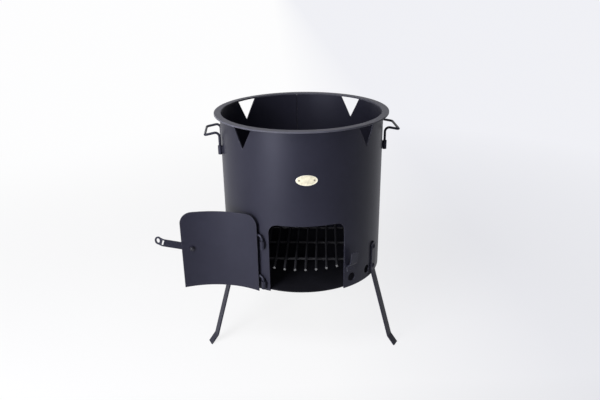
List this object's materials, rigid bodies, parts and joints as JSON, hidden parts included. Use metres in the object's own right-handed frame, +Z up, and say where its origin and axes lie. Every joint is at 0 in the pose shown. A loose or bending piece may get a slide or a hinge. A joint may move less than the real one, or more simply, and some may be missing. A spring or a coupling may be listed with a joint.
{
  "type": "kazan stove",
  "caption": "Round sheet steel fire stove on bent strap legs, with a ring for a cauldron, smoke notches, a hinged door with a drop latch and a lift-out grate.",
  "frame": {"origin": "middle of the underside of the drum's base plate, on the drum's axis", "axes": "+Z up along the drum's axis, -Y towards the stoke hole and door, +X to the right seen from the door"},
  "size_m": [0.6008, 0.4894, 0.5925],
  "materials": {
    "black_paint": "satin black heat-proof paint",
    "ring_paint": "satin dark grey paint, thin on the ring's top",
    "grate_steel": "blued steel rod with bare cut ends",
    "fastener_steel": "black painted fastener",
    "badge_brass": "satin pale brass"
  },
  "bodies": {
    "stove": {"badge_plate": "badge_brass", "badge_rivet_left": "badge_brass", "badge_rivet_right": "badge_brass", "base_plate": "black_paint", "drum_shell": "black_paint", "grate_rest_1": "black_paint", "grate_rest_2": "black_paint", "grate_rest_3": "black_paint", "grate_rest_4": "black_paint", "handle_left": "black_paint", "handle_right": "black_paint", "handle_socket_left_front": "black_paint", "handle_socket_left_rear": "black_paint", "handle_socket_right_front": "black_paint", "handle_socket_right_rear": "black_paint", "hinge_tube_lower": "black_paint", "hinge_tube_upper": "black_paint", "latch_catch": "black_paint", "leg_1": "black_paint", "leg_2": "black_paint", "leg_3": "black_paint", "leg_bolt_1_1": "black_paint", "leg_bolt_1_2": "black_paint", "leg_bolt_2_1": "black_paint", "leg_bolt_2_2": "black_paint", "leg_bolt_3_1": "black_paint", "leg_bolt_3_2": "black_paint", "leg_nut_1_1": "black_paint", "leg_nut_1_2": "black_paint", "leg_nut_2_1": "black_paint", "leg_nut_2_2": "black_paint", "leg_nut_3_1": "black_paint", "leg_nut_3_2": "black_paint", "top_ring": "ring_paint"},
    "door": {"door_plate": "black_paint", "hinge_rod_lower": "black_paint", "hinge_rod_upper": "black_paint", "latch_bolt": "fastener_steel", "latch_nut": "fastener_steel", "latch_washer": "fastener_steel"},
    "latch": {"latch_lever": "black_paint"},
    "grate": {"grate_cross_rod_1": "grate_steel", "grate_cross_rod_2": "grate_steel", "grate_cross_rod_3": "grate_steel", "grate_rod_01": "grate_steel", "grate_rod_02": "grate_steel", "grate_rod_03": "grate_steel", "grate_rod_04": "grate_steel", "grate_rod_05": "grate_steel", "grate_rod_06": "grate_steel", "grate_rod_07": "grate_steel", "grate_rod_08": "grate_steel", "grate_rod_09": "grate_steel", "grate_rod_10": "grate_steel", "grate_rod_11": "grate_steel", "grate_rod_12": "grate_steel", "grate_rod_13": "grate_steel", "grate_rod_14": "grate_steel"}
  },
  "joints": [
    {"name": "door_swing", "type": "hinge", "parent": "stove", "child": "door", "pos_m": [-0.10427, -0.17772, 0], "axis": [0, 0, 1], "range_deg": [0, 189.5]},
    {"name": "latch_swing", "type": "hinge", "parent": "door", "child": "latch", "pos_m": [-0.27541, -0.13341, 0.0996], "axis": [-0.1891, 0.982, 0], "range_deg": [-17.5, 72.5]},
    {"name": "grate_lift", "type": "slide", "parent": "stove", "child": "grate", "axis": [0, 0, 1], "range_m": [0, 0.362]}
  ]
}
